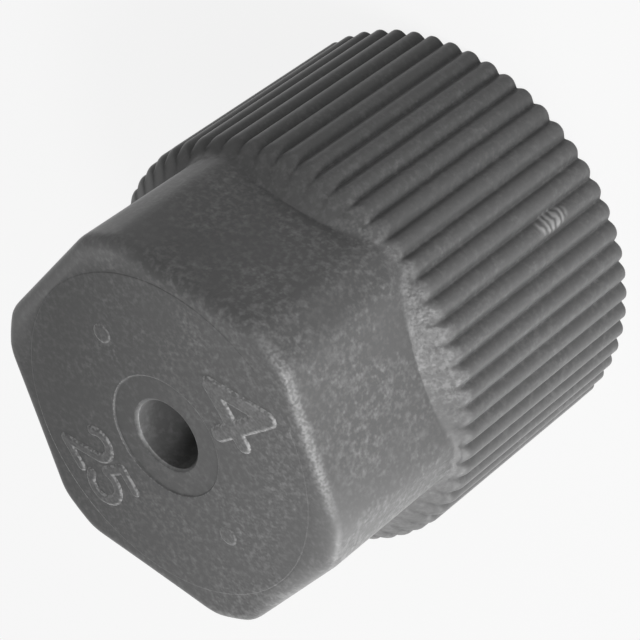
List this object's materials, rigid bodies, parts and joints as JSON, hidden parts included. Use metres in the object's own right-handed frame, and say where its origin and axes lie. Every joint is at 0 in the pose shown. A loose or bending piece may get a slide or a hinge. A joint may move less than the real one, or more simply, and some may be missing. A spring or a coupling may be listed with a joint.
{
  "type": "threaded protection cap",
  "caption": "Moulded plastic protection cap with a blind threaded socket, a ridged grip barrel and a hexagon head.",
  "frame": {"origin": "centre of the open rim, on the plane that the cap stands on", "axes": "+Z along the thread axis, from the open rim towards the hexagon head; +X square to one pair of wrench flats"},
  "size_m": [0.02, 0.02, 0.0195],
  "materials": {
    "cap": "fine spark-eroded matte moulding"
  },
  "bodies": {
    "root": {"cap": "cap"}
  },
  "joints": []
}
